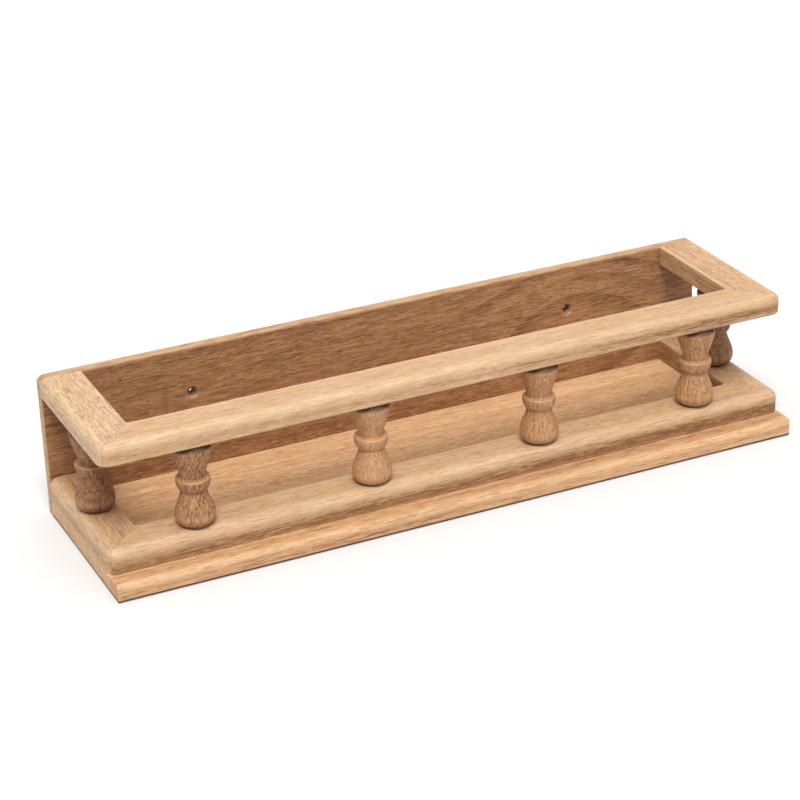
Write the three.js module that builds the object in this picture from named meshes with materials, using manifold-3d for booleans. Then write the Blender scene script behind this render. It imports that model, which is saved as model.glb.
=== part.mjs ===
// A wall-hung teak newspaper rack: a long tray with a back panel, and a turned gallery rail round the
// other three sides. Millimetres. X runs along the rack, Y points at the wall and Z is up. The origin
// is under the middle of the rack, at its lowest level.
import * as THREE from "three";
import { mergeVertices } from "three/addons/utils/BufferGeometryUtils.js";
import Module from "manifold-3d";

// Driving dimensions: the whole rack.
const LENGTH = 450;
const HEIGHT = 91.5;
const BASE_DEPTH = 127;
const FRAME_DEPTH = 113.5;
const PANEL_THICKNESS = 6.5;

// The base: a board, and on it a three-sided frame of rails. The gallery has rails of its own.
const BOARD_THICKNESS = 11;
const BASE_RAIL_HEIGHT = 14.5;
const BASE_RAIL_WIDTH = 25.5;
const TOP_RAIL_HEIGHT = 12.5;
const TOP_RAIL_WIDTH = 26;

// Rounded edges and corners.
const TOP_ROUND = 4.5;
const TOP_CORNER = 7.5;
const BASE_ROUND = 5.5;
const BASE_CORNER = 6;
const STEP_ROUND = 4;
const ROUND_STEPS = 5;
const CORNER_STEPS = 6;

// Joints: the glue line in a mitre, and the slack round a tenon, a key or a screw.
const GLUE_LINE = 0.2;
const SLACK = 0.3;

// Spindles: four along the front and one at each side, with a round tenon at both ends.
const FRONT_SPINDLE_X = [-166.7, -54.2, 58.3, 168.8];
const FRONT_SPINDLE_Y = -38;
const SIDE_SPINDLE_X = 212;
const SIDE_SPINDLE_Y = 8;
const TENON_RADIUS = 4.5;
const TENON_LENGTH = 7;
const SPINDLE_SIDES = 24;

// The two hanging holes through the back panel, countersunk from the front.
const HANGING_HOLE_X = 130;
const HANGING_HOLE_Z = 61.5;
const HANGING_HOLE_RADIUS = 1.5;
const HANGING_SINK_RADIUS = 4;
const HANGING_SINK_DEPTH = 2.5;

// Wood screws driven from behind the back panel.
const SCREW_LENGTH = 30;
const SCREW_RADIUS = 1.75;
const SCREW_TIP = 5;
const SCREW_HEAD_RADIUS = 3.5;
const SCREW_HEAD_DEPTH = 2;
const SCREW_SIDES = 16;
const BASE_SCREW_X = 180;

// The flat keys across the mitres of the gallery rail.
const KEY_LENGTH = 22;
const KEY_WIDTH = 12;
const KEY_THICKNESS = 4;

// Levels and planes that follow from the driving dimensions.
const BACK_Y = BASE_DEPTH / 2;
const FRONT_Y = -BASE_DEPTH / 2;
const PANEL_FRONT_Y = BACK_Y - PANEL_THICKNESS;
const FRAME_FRONT_Y = BACK_Y - FRAME_DEPTH;
const BASE_TOP_Z = BOARD_THICKNESS + BASE_RAIL_HEIGHT;
const TOP_UNDERSIDE_Z = HEIGHT - TOP_RAIL_HEIGHT;
const END_X = LENGTH / 2;

const wasm = await Module();
wasm.setup();

// ---------------------------------------------------------------- materials
function wood(color) {
  return new THREE.MeshStandardMaterial({ color, roughness: 0.62, metalness: 0 });
}

const RAIL_TEAK = wood(0xd9b184);
const FLOOR_TEAK = wood(0xcc9f6c);
const PANEL_TEAK = wood(0xa77549);
const SPINDLE_TEAK = wood(0x9c7250);
const KEY_WOOD = wood(0xc8a67c);
const STEEL = new THREE.MeshStandardMaterial({ color: 0xb8b8b6, roughness: 0.35, metalness: 1 });

// ---------------------------------------------------------------- solids and meshes
function toSolid(geometry) {
  const plain = geometry.index ? geometry.clone() : geometry;
  plain.deleteAttribute("normal");
  plain.deleteAttribute("uv");
  const merged = mergeVertices(plain, 1e-4);
  return new wasm.Manifold(
    new wasm.Mesh({
      numProp: 3,
      vertProperties: new Float32Array(merged.attributes.position.array),
      triVerts: new Uint32Array(merged.index.array),
    })
  );
}

function toGeometry(solid) {
  const { vertProperties, triVerts } = solid.getMesh();
  const geometry = new THREE.BufferGeometry();
  geometry.setAttribute("position", new THREE.BufferAttribute(vertProperties, 3));
  geometry.setIndex(new THREE.BufferAttribute(triVerts, 1));
  return geometry;
}

function box(x0, x1, y0, y1, z0, z1) {
  const geometry = new THREE.BoxGeometry(x1 - x0, y1 - y0, z1 - z0);
  geometry.translate((x0 + x1) / 2, (y0 + y1) / 2, (z0 + z1) / 2);
  return toSolid(geometry);
}

function prism(points, z0, z1) {
  const shape = new THREE.Shape(points.map(([x, y]) => new THREE.Vector2(x, y)));
  const geometry = new THREE.ExtrudeGeometry(shape, { depth: z1 - z0, bevelEnabled: false });
  geometry.translate(0, 0, z0);
  return toSolid(geometry);
}

// A turned solid: the profile is a list of (radius, height) points that starts and ends on the axis.
function turned(profile, sides) {
  const points = profile.map(([radius, height]) => new THREE.Vector2(radius, height));
  const geometry = new THREE.LatheGeometry(points, sides);
  geometry.rotateX(Math.PI / 2);
  return geometry;
}

// A block whose plan has rounded front corners and whose top edges are rounded over all the way round.
// It reaches past the back panel, and each rail is cut out of it.
function roundedBlock(round, corner, z0, z1) {
  const x = END_X - round;
  const front = FRAME_FRONT_Y + round;
  const back = BACK_Y + 2 * round;
  const radius = corner - round;
  const plan = new THREE.Shape();
  plan.moveTo(-x, back);
  plan.lineTo(-x, front + radius);
  plan.absarc(-x + radius, front + radius, radius, Math.PI, 1.5 * Math.PI, false);
  plan.lineTo(x - radius, front);
  plan.absarc(x - radius, front + radius, radius, 1.5 * Math.PI, 2 * Math.PI, false);
  plan.lineTo(x, back);
  plan.closePath();
  const geometry = new THREE.ExtrudeGeometry(plan, {
    depth: z1 - z0,
    bevelThickness: round,
    bevelSize: round,
    bevelSegments: ROUND_STEPS,
    curveSegments: CORNER_STEPS,
  });
  geometry.translate(0, 0, z0 - round);
  return toSolid(geometry).intersect(box(-LENGTH, LENGTH, -LENGTH, LENGTH, z0, z1));
}

const group = new THREE.Group();

function add(name, solid, material) {
  const mesh = new THREE.Mesh(toGeometry(solid), material);
  mesh.name = name;
  group.add(mesh);
}

// ---------------------------------------------------------------- cutters for joints
function holeAlongZ(x, y, z0, z1) {
  const radius = TENON_RADIUS + SLACK;
  const profile = [[0, z0], [radius, z0], [radius, z1], [0, z1]];
  return toSolid(turned(profile, SPINDLE_SIDES).translate(x, y, 0));
}

// A turned shape laid along Y, its height axis pointing from the wall to the front.
function turnedFromBack(profile, sides, x, z) {
  return toSolid(turned(profile, sides).rotateX(Math.PI / 2).translate(x, BACK_Y, z));
}

function screwProfile(slack) {
  const shank = SCREW_RADIUS + slack;
  const head = SCREW_HEAD_RADIUS + slack;
  return [
    [0, 0],
    [head, 0],
    [shank, SCREW_HEAD_DEPTH + slack],
    [shank, SCREW_LENGTH - SCREW_TIP + slack],
    [0, SCREW_LENGTH + slack],
  ];
}

const spindlePlaces = [
  ["spindle_front_1", FRONT_SPINDLE_X[0], FRONT_SPINDLE_Y],
  ["spindle_front_2", FRONT_SPINDLE_X[1], FRONT_SPINDLE_Y],
  ["spindle_front_3", FRONT_SPINDLE_X[2], FRONT_SPINDLE_Y],
  ["spindle_front_4", FRONT_SPINDLE_X[3], FRONT_SPINDLE_Y],
  ["spindle_left", -SIDE_SPINDLE_X, SIDE_SPINDLE_Y],
  ["spindle_right", SIDE_SPINDLE_X, SIDE_SPINDLE_Y],
];

const screwPlaces = [
  ["rail_screw_left", -SIDE_SPINDLE_X, (TOP_UNDERSIDE_Z + HEIGHT) / 2],
  ["rail_screw_right", SIDE_SPINDLE_X, (TOP_UNDERSIDE_Z + HEIGHT) / 2],
  ["base_screw_left", -BASE_SCREW_X, BOARD_THICKNESS / 2],
  ["base_screw_middle", 0, BOARD_THICKNESS / 2],
  ["base_screw_right", BASE_SCREW_X, BOARD_THICKNESS / 2],
];

function cutScrewHoles(solid) {
  return screwPlaces.reduce(
    (rest, [, x, z]) => rest.subtract(turnedFromBack(screwProfile(SLACK), SCREW_SIDES, x, z)),
    solid
  );
}

// A key lies flat across a mitre, halfway along it and square to it. side is -1 at the left.
function keySolid(side, slack) {
  const geometry = new THREE.BoxGeometry(
    KEY_LENGTH + 2 * slack,
    KEY_WIDTH + 2 * slack,
    KEY_THICKNESS + 2 * slack
  );
  geometry.rotateZ((side * Math.PI) / 4);
  geometry.translate(
    side * (END_X - TOP_RAIL_WIDTH / 2 - 1),
    FRAME_FRONT_Y + TOP_RAIL_WIDTH / 2 + 1,
    TOP_UNDERSIDE_Z + TOP_RAIL_HEIGHT / 2
  );
  return toSolid(geometry);
}

// ---------------------------------------------------------------- back panel
// A board with rounded top corners, two hanging holes and the screws' countersunk holes.
function backPanel() {
  const outline = new THREE.Shape();
  outline.moveTo(-END_X, 0);
  outline.lineTo(END_X, 0);
  outline.lineTo(END_X, HEIGHT - TOP_ROUND);
  outline.absarc(END_X - TOP_ROUND, HEIGHT - TOP_ROUND, TOP_ROUND, 0, Math.PI / 2, false);
  outline.lineTo(-END_X + TOP_ROUND, HEIGHT);
  outline.absarc(-END_X + TOP_ROUND, HEIGHT - TOP_ROUND, TOP_ROUND, Math.PI / 2, Math.PI, false);
  outline.closePath();
  const board = new THREE.ExtrudeGeometry(outline, {
    depth: PANEL_THICKNESS,
    bevelEnabled: false,
    curveSegments: ROUND_STEPS,
  });
  board.rotateX(Math.PI / 2);
  board.translate(0, BACK_Y, 0);
  const hanging = [
    [0, -1],
    [HANGING_HOLE_RADIUS, -1],
    [HANGING_HOLE_RADIUS, PANEL_THICKNESS - HANGING_SINK_DEPTH],
    [HANGING_SINK_RADIUS, PANEL_THICKNESS],
    [HANGING_SINK_RADIUS, PANEL_THICKNESS + 1],
    [0, PANEL_THICKNESS + 1],
  ];
  let solid = cutScrewHoles(toSolid(board));
  for (const side of [-1, 1]) {
    solid = solid.subtract(
      turnedFromBack(hanging, SPINDLE_SIDES, side * HANGING_HOLE_X, HANGING_HOLE_Z)
    );
  }
  return solid;
}

// ---------------------------------------------------------------- base board
// Extruded along the rack from its end profile, which has a rounded upper front edge.
function baseBoard() {
  const profile = new THREE.Shape();
  profile.moveTo(PANEL_FRONT_Y, 0);
  profile.lineTo(PANEL_FRONT_Y, BOARD_THICKNESS);
  profile.lineTo(FRONT_Y + STEP_ROUND, BOARD_THICKNESS);
  profile.absarc(
    FRONT_Y + STEP_ROUND, BOARD_THICKNESS - STEP_ROUND, STEP_ROUND, Math.PI / 2, Math.PI, false
  );
  profile.lineTo(FRONT_Y, 0);
  profile.closePath();
  const board = new THREE.ExtrudeGeometry(profile, {
    depth: LENGTH,
    bevelEnabled: false,
    curveSegments: ROUND_STEPS + 1,
  });
  board.rotateX(Math.PI / 2);
  board.rotateZ(Math.PI / 2);
  board.translate(-END_X, 0, 0);
  return cutScrewHoles(toSolid(board));
}

// ---------------------------------------------------------------- mitred frames
// The plan of a front rail between its two mitres, and of a side rail from its mitre to the panel.
function frontRailPlan(width) {
  const glue = GLUE_LINE / 2;
  return [
    [-END_X + glue, FRAME_FRONT_Y],
    [END_X - glue, FRAME_FRONT_Y],
    [END_X - width - glue, FRAME_FRONT_Y + width],
    [-END_X + width + glue, FRAME_FRONT_Y + width],
  ];
}

function sideRailPlan(side, width) {
  const glue = GLUE_LINE / 2;
  const plan = [
    [side * END_X, FRAME_FRONT_Y + glue],
    [side * END_X, PANEL_FRONT_Y],
    [side * (END_X - width), PANEL_FRONT_Y],
    [side * (END_X - width), FRAME_FRONT_Y + width + glue],
  ];
  return side > 0 ? plan : plan.reverse();
}

function cutTenonHoles(solid, z0, z1) {
  return spindlePlaces.reduce((rest, [, x, y]) => rest.subtract(holeAlongZ(x, y, z0, z1)), solid);
}

function addFrame(prefix, width, block, z0, z1, cut) {
  const plans = {
    front_rail: frontRailPlan(width),
    left_rail: sideRailPlan(-1, width),
    right_rail: sideRailPlan(1, width),
  };
  for (const [name, plan] of Object.entries(plans)) {
    add(`${prefix}_${name}`, cut(prism(plan, z0, z1).intersect(block)), RAIL_TEAK);
  }
}

function cutBaseRail(solid) {
  return cutTenonHoles(solid, BASE_TOP_Z - TENON_LENGTH - 1, BASE_TOP_Z + 1);
}

function cutTopRail(solid) {
  const holed = cutTenonHoles(solid, TOP_UNDERSIDE_Z - 1, TOP_UNDERSIDE_Z + TENON_LENGTH + 1);
  return cutScrewHoles(holed).subtract(keySolid(-1, SLACK)).subtract(keySolid(1, SLACK));
}

// ---------------------------------------------------------------- spindles
// From the foot up: a bell that is widest low down, a neck, a bead ring and a flared top.
function spindleProfile() {
  const visible = TOP_UNDERSIDE_Z - BASE_TOP_Z;
  const bell = new THREE.SplineCurve([
    new THREE.Vector2(7.2, 0),
    new THREE.Vector2(10.5, 2.2),
    new THREE.Vector2(12, 6.6),
    new THREE.Vector2(11, 11.4),
    new THREE.Vector2(8.6, 17),
    new THREE.Vector2(7.5, 22),
  ]);
  const ring = new THREE.EllipseCurve(7.5, 26.8, 2.7, 3.9, -Math.PI / 2, Math.PI / 2);
  const flare = new THREE.SplineCurve([
    new THREE.Vector2(7.5, 31.4),
    new THREE.Vector2(8.8, 36.5),
    new THREE.Vector2(11.2, 44),
    new THREE.Vector2(12.2, 50.5),
    new THREE.Vector2(10.4, visible),
  ]);
  return [
    [0, -TENON_LENGTH],
    [TENON_RADIUS, -TENON_LENGTH],
    [TENON_RADIUS, 0],
    ...bell.getPoints(8).map((point) => [point.x, point.y]),
    ...ring.getPoints(5).map((point) => [point.x, point.y]),
    ...flare.getPoints(5).map((point) => [point.x, point.y]),
    [TENON_RADIUS, visible],
    [TENON_RADIUS, visible + TENON_LENGTH],
    [0, visible + TENON_LENGTH],
  ];
}

// ---------------------------------------------------------------- the assembly
add("back_panel", backPanel(), PANEL_TEAK);
add("base_board", baseBoard(), FLOOR_TEAK);

const baseBlock = roundedBlock(BASE_ROUND, BASE_CORNER, BOARD_THICKNESS, BASE_TOP_Z);
addFrame("base", BASE_RAIL_WIDTH, baseBlock, BOARD_THICKNESS, BASE_TOP_Z, cutBaseRail);

const topBlock = roundedBlock(TOP_ROUND, TOP_CORNER, TOP_UNDERSIDE_Z, HEIGHT);
addFrame("top", TOP_RAIL_WIDTH, topBlock, TOP_UNDERSIDE_Z, HEIGHT, cutTopRail);

for (const [name, x, y] of spindlePlaces) {
  const spindle = turned(spindleProfile(), SPINDLE_SIDES).translate(x, y, BASE_TOP_Z);
  add(name, toSolid(spindle), SPINDLE_TEAK);
}

for (const [name, side] of [["mitre_key_left", -1], ["mitre_key_right", 1]]) {
  add(name, keySolid(side, 0), KEY_WOOD);
}

for (const [name, x, z] of screwPlaces) {
  add(name, turnedFromBack(screwProfile(0), SCREW_SIDES, x, z), STEEL);
}

export default group;
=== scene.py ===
import math

import bpy
import numpy as np
from mathutils import Matrix, Vector


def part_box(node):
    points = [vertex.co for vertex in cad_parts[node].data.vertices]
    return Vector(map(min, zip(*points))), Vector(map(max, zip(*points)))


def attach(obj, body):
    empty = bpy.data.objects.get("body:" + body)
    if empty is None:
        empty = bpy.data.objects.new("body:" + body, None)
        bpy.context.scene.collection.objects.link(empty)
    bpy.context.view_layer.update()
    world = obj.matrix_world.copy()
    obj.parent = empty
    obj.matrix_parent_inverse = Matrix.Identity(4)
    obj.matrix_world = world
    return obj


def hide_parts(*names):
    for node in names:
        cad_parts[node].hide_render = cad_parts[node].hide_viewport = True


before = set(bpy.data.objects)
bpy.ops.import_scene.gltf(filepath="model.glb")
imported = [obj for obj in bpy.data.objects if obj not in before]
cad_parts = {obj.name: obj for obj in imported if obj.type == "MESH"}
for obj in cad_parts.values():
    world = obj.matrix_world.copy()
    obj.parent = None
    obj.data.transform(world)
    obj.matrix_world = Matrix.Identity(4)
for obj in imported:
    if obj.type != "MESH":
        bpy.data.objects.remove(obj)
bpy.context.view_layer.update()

# ---------------------------------------------------------------- the room
# A wide plain pale table in a pale room, bright overhead and dim low down, with one broad soft light
# that falls from high in front and a little to the left. The rack stands free on the table. The room
# lights the rack as it is, and is plain white behind it.
TABLE_SIZE = 80.0
TABLE_COLOUR = (0.66, 0.66, 0.66, 1)
TABLE_ROUGHNESS = 0.9
LIGHT_FALL = Vector((0.21, 0.57, -1.0))
LIGHT_POWER = 2.5
LIGHT_SPREAD = math.radians(22)
ROOM_LOW = (0.32, 0.32, 0.32, 1)
ROOM_HIGH = (1.3, 1.3, 1.3, 1)

lamp = bpy.data.lights.new("soft_light", "SUN")
lamp.energy = LIGHT_POWER
lamp.angle = LIGHT_SPREAD
holder = bpy.data.objects.new("soft_light", lamp)
holder.rotation_euler = LIGHT_FALL.to_track_quat("-Z", "Y").to_euler()
bpy.context.scene.collection.objects.link(holder)


def socket_value(tree, socket, value):
    """Links a socket to another node's output, or sets its own value."""
    if isinstance(value, bpy.types.NodeSocket):
        tree.links.new(value, socket)
    else:
        socket.default_value = value


def add_node(tree, kind, values, **settings):
    """A node with its settings and its inputs, each a value or another node's output."""
    made = tree.nodes.new(kind)
    for key, value in settings.items():
        setattr(made, key, value)
    for key, value in values.items():
        socket_value(tree, made.inputs[key], value)
    return made


def mixed(tree, share, a, b, mode="MIX"):
    """Colour a turned into colour b by a share, by plain mixing or another blend."""
    made = add_node(tree, "ShaderNodeMix", {}, data_type="RGBA", blend_type=mode)
    for index, value in ((0, share), (6, a), (7, b)):
        socket_value(tree, made.inputs[index], value)
    return made.outputs[2]


room = bpy.data.worlds.new("room")
room.use_nodes = True
sky = room.node_tree
upward = add_node(
    sky, "ShaderNodeSeparateXYZ", {0: sky.nodes.new("ShaderNodeTexCoord").outputs["Generated"]}
).outputs["Z"]
seen = sky.nodes.new("ShaderNodeLightPath").outputs["Is Camera Ray"]
backdrop = mixed(sky, seen, mixed(sky, upward, ROOM_LOW, ROOM_HIGH), (1, 1, 1, 1))
sky.links.new(backdrop, sky.nodes["Background"].inputs["Color"])
bpy.context.scene.world = room
bpy.context.scene.view_settings.view_transform = "Standard"

half = TABLE_SIZE / 2
table_mesh = bpy.data.meshes.new("table")
table_mesh.from_pydata(
    [(-half, -half, 0), (half, -half, 0), (half, half, 0), (-half, half, 0)], [], [(0, 1, 2, 3)]
)
table = bpy.data.objects.new("table", table_mesh)
table_paint = bpy.data.materials.new("table_paint")
table_paint.use_nodes = True
paint_inputs = table_paint.node_tree.nodes["Principled BSDF"].inputs
paint_inputs["Base Color"].default_value = TABLE_COLOUR
paint_inputs["Roughness"].default_value = TABLE_ROUGHNESS
table_mesh.materials.append(table_paint)
bpy.context.scene.collection.objects.link(table)

# The camera stands in front of the left half, above the rack, and leans a little to one side.
CAMERA_AIM = Vector((0, 0.0380, 0.0341))
CAMERA_DISTANCE = 1.5443
CAMERA_AZIMUTH = math.radians(24.408)
CAMERA_FALL = math.radians(25.343)
CAMERA_LEAN = math.radians(1.946)
CAMERA_LENS = 110.57
CAMERA_SENSOR = 36
CAMERA_NEAREST = 0.01

forward = Vector((
    math.sin(CAMERA_AZIMUTH) * math.cos(CAMERA_FALL),
    math.cos(CAMERA_AZIMUTH) * math.cos(CAMERA_FALL),
    -math.sin(CAMERA_FALL),
))
level = Vector((math.cos(CAMERA_AZIMUTH), -math.sin(CAMERA_AZIMUTH), 0))
right = level * math.cos(CAMERA_LEAN) + forward.cross(level) * math.sin(CAMERA_LEAN)
turn = Matrix((right, right.cross(forward), -forward)).transposed()
camera = bpy.data.objects.new("camera", bpy.data.cameras.new("camera"))
camera.data.lens = CAMERA_LENS
camera.data.sensor_width = CAMERA_SENSOR
camera.data.clip_start = CAMERA_NEAREST
camera.matrix_world = Matrix.Translation(CAMERA_AIM - forward * CAMERA_DISTANCE) @ turn.to_4x4()
bpy.context.scene.collection.objects.link(camera)
bpy.context.scene.camera = camera

# ---------------------------------------------------------------- back panel
# One thin teak board the whole length and height of the rack, sawn flat so that an oval of growth
# rings shows near its right end. Its top corners are rounded, its edges are eased by hand, and it is
# drilled and countersunk for hanging from the front and for the wood screws from the back.
PANEL_CORNER = 0.0045
CORNER_STEPS = 9
EASE = 0.0006
EASE_STEPS = 4
FLAT_ROWS = 4  # rows of the rim between its two quarter rounds
EDGE_RUB = 0.0016  # how far in from their edges the faces are rubbed
GRID_STEP_X = 0.006
GRID_STEP_Z = 0.005
HANGING_PLACES = [(-0.130, 0.0615), (0.130, 0.0615)]
HANGING_BORE = 0.0015
HANGING_SINK = 0.0040
HANGING_SINK_DEPTH = 0.0025
HANGING_BLOCK = 0.0055  # half the side of the square of the face that is laid round a hole
SCREW_NAMES = [
    "rail_screw_left", "rail_screw_right", "base_screw_left", "base_screw_middle", "base_screw_right"
]
SCREW_BORE = 0.00205
SCREW_SINK = 0.0038
SCREW_SINK_DEPTH = 0.0022
SCREW_BLOCK = 0.0046
HOLE_SIDES = 48
HOLE_ARRIS = 0.0001
FAN_SHARES = np.array([1, 0.72, 0.46, 0.22, 0])  # rings from a hole's square in to its circle
FRONT_FAN_WEAR = [0, 0, 0, 0.1, 0.5]
# The back rim of each hole is painted a little darker: painted shade.
BACK_FAN_SHADE = [-0.2, 0, 0, 0, 0]
SINK_WEAR = 0.3
# The bore deeper in is painted dark: painted shade inside the hole.
BORE_PAINTED_SHADE = -0.8
PAINTED_SHADE_FROM = 0.002  # depth in a hole


def patch(points, wear_and_painted_light, closed=False, keep=None):
    """One sheet: an (m, n, 3) grid of points and its wear, from -1 for painted shade to 1 for a rubbed
    edge with a painted highlight.
    closed joins the last column to the first. keep is a mask of the squares wanted."""
    points = np.asarray(points, float)
    wear_and_painted_light = np.broadcast_to(wear_and_painted_light, points.shape[:2])
    return {"points": points, "wear_and_painted_light": wear_and_painted_light, "closed": closed, "keep": keep}


def sew(name, patches):
    """Sews sheets into one closed mesh. Points nearer than a tenth of a micron become one, squares that
    shrink to a triangle or a line lose the doubled corners, and each point's normal is the sum of
    the normals of its faces times their areas. The mesh is turned so that its volume is positive."""
    points, wear_and_painted_light, quads, first = [], [], [], 0
    for sheet in patches:
        rows, columns = sheet["points"].shape[:2]
        index = first + np.arange(rows * columns).reshape(rows, columns)
        first += rows * columns
        if sheet["closed"]:
            index = np.hstack([index, index[:, :1]])
        corners = np.stack([index[:-1, :-1], index[:-1, 1:], index[1:, 1:], index[1:, :-1]], axis=-1)
        if sheet["keep"] is not None:
            corners = corners[sheet["keep"]]
        quads.append(corners.reshape(-1, 4))
        points.append(sheet["points"].reshape(-1, 3))
        wear_and_painted_light.append(sheet["wear_and_painted_light"].reshape(-1))
    points, wear_and_painted_light, quads = np.vstack(points), np.concatenate(wear_and_painted_light), np.vstack(quads)
    _, kept, merged = np.unique(
        np.round(points * 1e7).astype(np.int64), axis=0, return_index=True, return_inverse=True
    )
    points, wear_and_painted_light, quads = points[kept], wear_and_painted_light[kept], merged.reshape(-1)[quads]
    doubled = quads == np.roll(quads, -1, axis=1)
    crossed = (quads[:, 0] == quads[:, 2]) | (quads[:, 1] == quads[:, 3])
    whole = quads[(doubled.sum(axis=1) == 0) & ~crossed]
    pinched = (doubled.sum(axis=1) == 1) & ~crossed
    thirds = quads[pinched][~doubled[pinched]].reshape(-1, 3)
    triangles = np.vstack([whole[:, [0, 1, 2]], whole[:, [0, 2, 3]], thirds])
    a, b, c = points[triangles].transpose(1, 0, 2)
    if np.einsum("ij,ij->i", a, np.cross(b, c)).sum() < 0:
        whole, thirds, triangles = whole[:, ::-1], thirds[:, ::-1], triangles[:, ::-1]
    a, b, c = points[triangles].transpose(1, 0, 2)
    normals = np.zeros_like(points)
    for corner in range(3):
        np.add.at(normals, triangles[:, corner], np.cross(b - a, c - a))
    used = np.zeros(len(points), bool)
    used[triangles] = True
    renumber = np.cumsum(used) - 1
    normals = normals[used] / np.linalg.norm(normals[used], axis=1, keepdims=True)
    mesh = bpy.data.meshes.new(name)
    faces = renumber[whole].tolist() + renumber[thirds].tolist()
    mesh.from_pydata(points[used].tolist(), [], faces)
    mesh.polygons.foreach_set("use_smooth", np.ones(len(faces), bool))
    mesh.attributes.new("wear_and_painted_light", "FLOAT", "POINT").data.foreach_set("value", wear_and_painted_light[used])
    mesh.normals_split_custom_set_from_vertices(normals.tolist())
    piece = bpy.data.objects.new(name, mesh)
    bpy.context.scene.collection.objects.link(piece)
    return piece


def finish_piece(piece, node, material):
    """The piece stands for its CAD node, takes its finish from a slot and moves with the rack."""
    piece.data.materials.append(material)
    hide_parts(node)
    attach(piece, "root")


def near(distance, reach):
    """Wear that is full on an edge and falls smoothly to nothing at reach from it."""
    share = np.clip(1 - distance / reach, 0, 1)
    return share * share * (3 - 2 * share)


def lines(low, high, step, blocks):
    """Grid lines from low to high, about step apart. Each block (middle, half) gets lines where rays
    at equal angles from its middle meet its side, so that a round hole's patch fits it."""
    rays = np.tan(np.linspace(-math.pi / 4, math.pi / 4, HOLE_SIDES // 4 + 1))
    ends = [low] + [m + s * h for m, h in blocks for s in (-1, 1)] + [high]
    gaps = [
        np.linspace(a, b, max(2, int(math.ceil((b - a) / step)) + 1))
        for a, b in zip(ends[::2], ends[1::2])
    ]
    holes = [m + h * rays for m, h in blocks]
    return np.unique(np.round(np.concatenate(gaps + holes), 9))


# Rays at equal angles round a hole, from the lower left corner of its square.
hole_angles = -3 * math.pi / 4 + 2 * math.pi * np.arange(HOLE_SIDES) / HOLE_SIDES
HOLE_RAYS = np.stack([np.cos(hole_angles), np.sin(hole_angles)], axis=-1)


def square_and_round(x, z, half, radius, shares):
    """Rings of points between a square of half side half (share 1) and a circle (share 0)."""
    square = half * HOLE_RAYS / np.abs(HOLE_RAYS).max(axis=1, keepdims=True)
    shares = shares[:, None, None]
    ring = shares * square + (1 - shares) * radius * HOLE_RAYS
    return ring + np.array([x, z])


def drilled(x, z, half, profile, front, back):
    """The wall of a hole through the panel: square to round on the front, then a profile of
    (radius, depth behind the front) carried round the hole, then round to square on the back. It is
    rubbed paler near the front. Further in, and at its rim on the back, it is painted dark as painted
    shade inside the hole."""
    radius, depth = np.array(profile).T
    plan = np.concatenate([
        square_and_round(x, z, half, radius[0], FAN_SHARES),
        radius[:, None, None] * HOLE_RAYS + np.array([x, z]),
        square_and_round(x, z, half, radius[-1], FAN_SHARES[::-1]),
    ])
    rings = len(FAN_SHARES)
    y = np.concatenate([np.full(rings, front), front + depth, np.full(rings, back)])
    y = np.broadcast_to(y[:, None], plan.shape[:2])
    within = np.where(depth < PAINTED_SHADE_FROM, SINK_WEAR, BORE_PAINTED_SHADE)
    wear_and_painted_light = np.concatenate([FRONT_FAN_WEAR, within, BACK_FAN_SHADE])
    return patch(np.stack([plan[..., 0], y, plan[..., 1]], axis=-1), wear_and_painted_light[:, None], closed=True)


low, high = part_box("back_panel")
front, back = low.y, high.y
screws = [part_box(name) for name in SCREW_NAMES]
screw_places = [((lo.x + hi.x) / 2, (lo.z + hi.z) / 2) for lo, hi in screws]
holes = [(x, z, HANGING_BLOCK) for x, z in HANGING_PLACES]
holes += [(x, z, SCREW_BLOCK) for x, z in screw_places]

# The faces are one grid whose columns end lower under the rounded top corners.
bend = np.linspace(0, math.pi / 2, CORNER_STEPS + 1)[1:]
straight_end = high.x - PANEL_CORNER
arc_x = straight_end + (PANEL_CORNER - EASE) * np.sin(bend)
arc_drop = (PANEL_CORNER - EASE) * (1 - np.cos(bend))
blocks_x = sorted({(round(x, 6), h) for x, z, h in holes})
straight = lines(-straight_end, straight_end, GRID_STEP_X, blocks_x)
across = np.concatenate([-arc_x[::-1], straight, arc_x])
inner_top = high.z - EASE
tops = inner_top - np.concatenate([arc_drop[::-1], 0 * straight, arc_drop])
blocks_z = sorted({(round(z, 6), h) for x, z, h in holes})
up = lines(low.z + EASE, inner_top, GRID_STEP_Z, blocks_z)
share_up = (up - up[0]) / (up[-1] - up[0])
grid_x = np.broadcast_to(across, (len(up), len(across)))
grid_z = up[0] + share_up[:, None] * (tops - up[0])
to_edge = np.minimum.reduce([high.x - np.abs(grid_x), tops - grid_z, grid_z - up[0]])
panel_wear = near(to_edge, EDGE_RUB)
middle_x = (across[:-1] + across[1:]) / 2
middle_z = (up[:-1] + up[1:]) / 2
keep = np.ones((len(up) - 1, len(across) - 1), bool)
for x, z, h in holes:
    keep &= ~((np.abs(middle_z - z) < h)[:, None] & (np.abs(middle_x - x) < h)[None, :])


def panel_face(y):
    """One face of the panel as a grid of points at depth y."""
    return np.stack([grid_x, np.full_like(grid_x, y), grid_z], axis=-1)


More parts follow.
